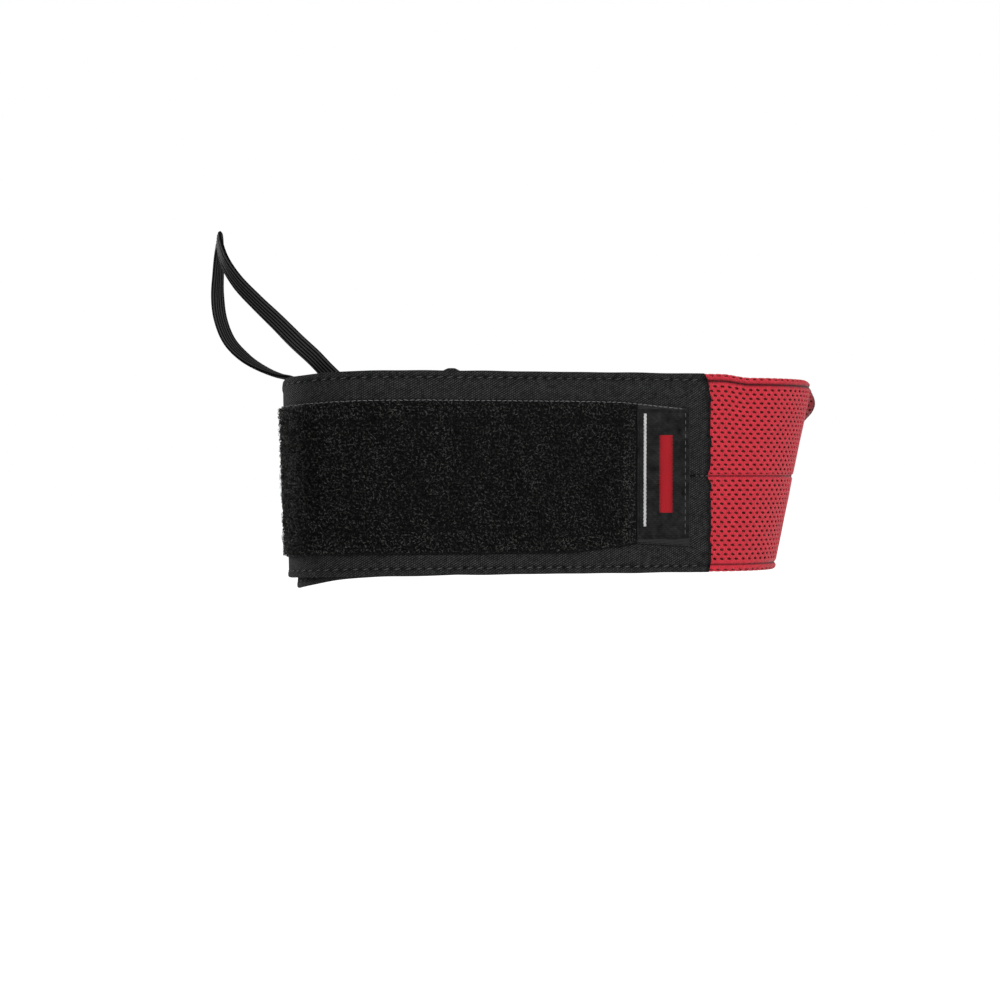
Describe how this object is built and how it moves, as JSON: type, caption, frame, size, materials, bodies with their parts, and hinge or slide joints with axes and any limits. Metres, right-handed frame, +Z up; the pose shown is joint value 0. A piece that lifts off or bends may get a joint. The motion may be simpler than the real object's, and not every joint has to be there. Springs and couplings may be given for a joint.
{
  "type": "wrist wrap",
  "caption": "Lined twill strap wound round a wrist-sized hollow, with a pile patch, a label, an elastic thumb loop and a soft mesh pull tab on its free end.",
  "frame": {"origin": "on the axis of the wrist hollow, half way up the strap", "axes": "+Z up the forearm to the hand, +X the way the free end is pulled, -Y to the viewer"},
  "size_m": [0.2007, 0.0662, 0.115],
  "materials": {
    "twill": "matt black twill",
    "lining": "red perforated mesh",
    "pile": "black loop pile",
    "label": "black woven satin",
    "mesh": "red perforated mesh",
    "hook": "black hook tape",
    "elastic": "black ribbed elastic"
  },
  "bodies": {
    "root": {"twill_strap": "twill", "mesh_lining": "lining", "pile_patch": "pile", "label": "label", "pull_tab": "mesh", "hook_patch": "hook", "thumb_loop": "elastic"}
  },
  "joints": []
}
